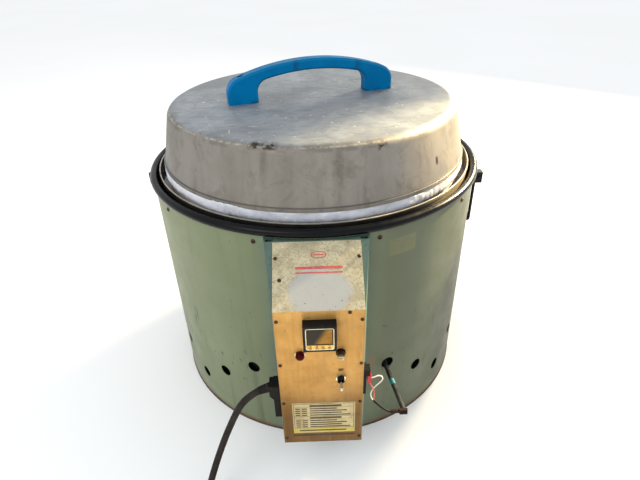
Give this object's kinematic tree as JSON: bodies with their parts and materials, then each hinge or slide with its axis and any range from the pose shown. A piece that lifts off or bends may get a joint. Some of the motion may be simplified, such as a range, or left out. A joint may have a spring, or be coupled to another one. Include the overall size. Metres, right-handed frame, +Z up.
{
  "type": "top-loading electric pottery kiln",
  "caption": "Round top-loading electric pottery kiln with a lift-off lid, a bridge handle, folding carry handles and a front control box with a mains cord.",
  "frame": {"origin": "middle of the drum's underside, on the floor", "axes": "+Z up, -Y out of the front with the control box, +X to the right of someone facing the front"},
  "size_m": [0.6562, 0.9324, 0.639],
  "materials": {
    "green_paint": "satin",
    "dark_base_paint": "satin",
    "black_trim": "gloss",
    "liner_steel": "satin",
    "ceramic_fibre": "matte",
    "bright_steel": "satin",
    "dark_steel": "satin",
    "heating_wire": "matte",
    "white_ceramic": "satin",
    "lid_steel": "satin",
    "blue_paint": "gloss",
    "black_paint": "satin",
    "black_grip": "matte",
    "teal_paint": "satin",
    "gold_paint": "satin",
    "cream_plate": "matte",
    "black_plastic": "satin",
    "face_film": "satin",
    "dark_window": "gloss",
    "key_plastic": "satin",
    "red_lens": "gloss",
    "brown_plastic": "gloss",
    "clear_glass": "gloss",
    "bright_plate": "polished",
    "bare_aluminium": "satin",
    "cord_rubber": "satin",
    "brass_blade": "satin",
    "probe_tube": "matte",
    "probe_head": "satin",
    "white_wire": "satin",
    "red_wire": "satin",
    "red_plastic": "satin"
  },
  "bodies": {
    "kiln": {"base_pan": "dark_base_paint", "outer_casing": "green_paint", "rim_trim": "black_trim", "inner_liner": "liner_steel", "wall_insulation": "ceramic_fibre", "floor_insulation": "ceramic_fibre", "wall_spacers": "bright_steel", "casing_screws": "dark_steel", "floor_pillars": "bright_steel", "heating_elements": "heating_wire", "element_bushes": "white_ceramic", "element_studs": "bright_steel", "side_handle_brackets": "black_paint", "control_box": "teal_paint", "front_panel": "gold_paint", "panel_screws": "dark_steel", "instruction_plate": "cream_plate", "controller_housing": "black_plastic", "controller_face": "face_film", "controller_window": "dark_window", "controller_clamp": "black_plastic", "lamp_lens": "red_lens", "lamp_body": "bright_plate", "fuse_holder_body": "black_plastic", "toggle_body": "black_plastic", "toggle_nut": "bright_plate", "heat_sink": "bare_aluminium", "solid_state_relay": "black_plastic", "terminal_block": "brown_plastic", "inlet_flange": "black_plastic", "cord_gland": "black_plastic", "strain_relief": "cord_rubber", "mains_cord": "cord_rubber", "mains_cord_tail": "cord_rubber", "mains_cord_coil": "cord_rubber", "cord_tie": "black_plastic", "plug_body": "cord_rubber", "plug_blades": "brass_blade", "thermocouple_sheath": "probe_tube", "thermocouple_head": "probe_head", "thermocouple_lead": "black_plastic", "thermocouple_jack": "black_plastic", "thermocouple_plug": "red_plastic", "wire_white": "white_wire", "wire_red": "red_wire"},
    "lid": {"lid_shell": "lid_steel", "lid_insulation": "ceramic_fibre", "lid_handle": "blue_paint", "lid_handle_bolts": "dark_steel"},
    "right_carry_handle": {"side_bail_right": "black_paint", "side_grip_right": "black_grip"},
    "left_carry_handle": {"side_bail_left": "black_paint", "side_grip_left": "black_grip"},
    "key_1": {"controller_key_1": "key_plastic"},
    "key_2": {"controller_key_2": "key_plastic"},
    "key_3": {"controller_key_3": "key_plastic"},
    "key_4": {"controller_key_4": "key_plastic"},
    "fuse_drawer": {"fuse_cap": "brown_plastic", "fuse_link": "clear_glass"},
    "toggle": {"toggle_lever": "bright_plate"}
  },
  "joints": [
    {"name": "lid_lift", "type": "slide", "parent": "kiln", "child": "lid", "axis": [0, 0, 1], "range_m": [0, 0.25]},
    {"name": "right_carry_handle_hinge", "type": "hinge", "parent": "kiln", "child": "right_carry_handle", "pos_m": [0.318, 0, 0.421], "axis": [0, -1, 0], "range_deg": [0, 110]},
    {"name": "left_carry_handle_hinge", "type": "hinge", "parent": "kiln", "child": "left_carry_handle", "pos_m": [-0.3149, 0.04426, 0.421], "axis": [0.1392, 0.9903, 0], "range_deg": [0, 110]},
    {"name": "key_1_press", "type": "slide", "parent": "kiln", "child": "key_1", "axis": [0, 1, 0], "range_m": [0, 0.0006], "stiffness_N_per_m": 300, "springref_m": -0.0006},
    {"name": "key_2_press", "type": "slide", "parent": "kiln", "child": "key_2", "axis": [0, 1, 0], "range_m": [0, 0.0006], "stiffness_N_per_m": 300, "springref_m": -0.0006},
    {"name": "key_3_press", "type": "slide", "parent": "kiln", "child": "key_3", "axis": [0, 1, 0], "range_m": [0, 0.0006], "stiffness_N_per_m": 300, "springref_m": -0.0006},
    {"name": "key_4_press", "type": "slide", "parent": "kiln", "child": "key_4", "axis": [0, 1, 0], "range_m": [0, 0.0006], "stiffness_N_per_m": 300, "springref_m": -0.0006},
    {"name": "fuse_cap_turn", "type": "hinge", "parent": "kiln", "child": "fuse_drawer", "pos_m": [0.03, -0.4, 0.302], "axis": [0, 1, 0], "range_deg": [0, 90]},
    {"name": "toggle_flip", "type": "hinge", "parent": "kiln", "child": "toggle", "pos_m": [0.03, -0.402, 0.249], "axis": [-1, 0, 0], "range_deg": [0, 28]}
  ]
}
